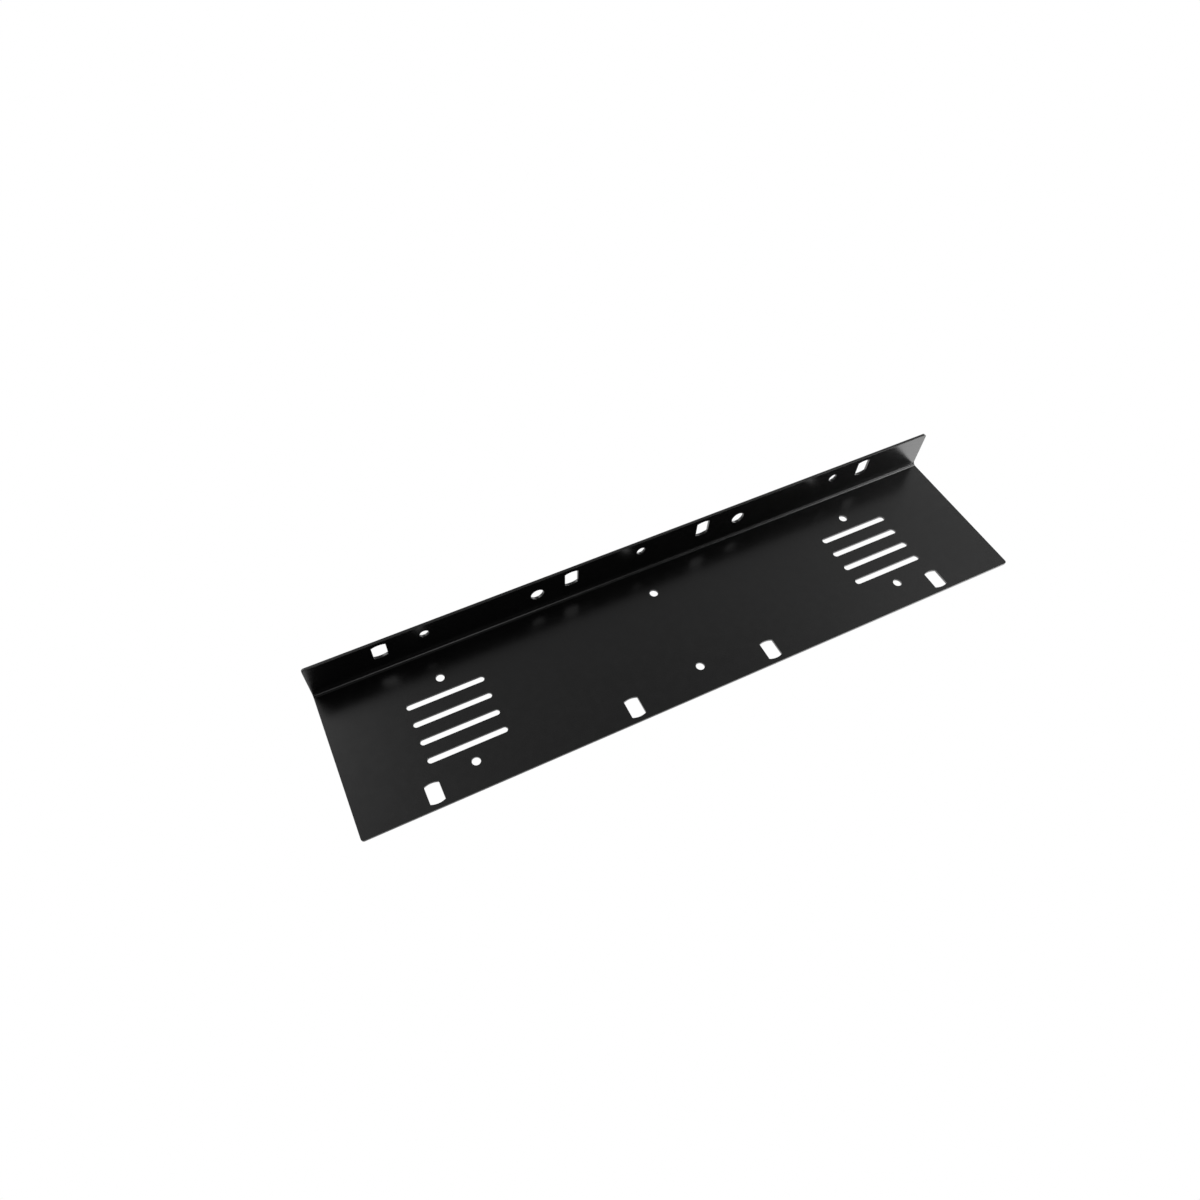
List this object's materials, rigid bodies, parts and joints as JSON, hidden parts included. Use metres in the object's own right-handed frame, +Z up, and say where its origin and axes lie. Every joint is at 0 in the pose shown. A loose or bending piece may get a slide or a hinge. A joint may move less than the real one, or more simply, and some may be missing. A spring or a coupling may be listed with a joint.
{
  "type": "rack mount ear bracket",
  "caption": "Folded sheet-metal rack ear: a wide punched base with vents and a short upright flange, both slotted for rack rails, satin black.",
  "frame": {"origin": "middle of the rectangle that the bracket stands on, in the plane of the base's underside", "axes": "+X along the bracket, +Y from the base's free edge to the flange, +Z up the flange"},
  "size_m": [0.357, 0.08, 0.025],
  "materials": {
    "black_coating": "satin black powder coat"
  },
  "bodies": {
    "root": {"bracket": "black_coating"}
  },
  "joints": []
}
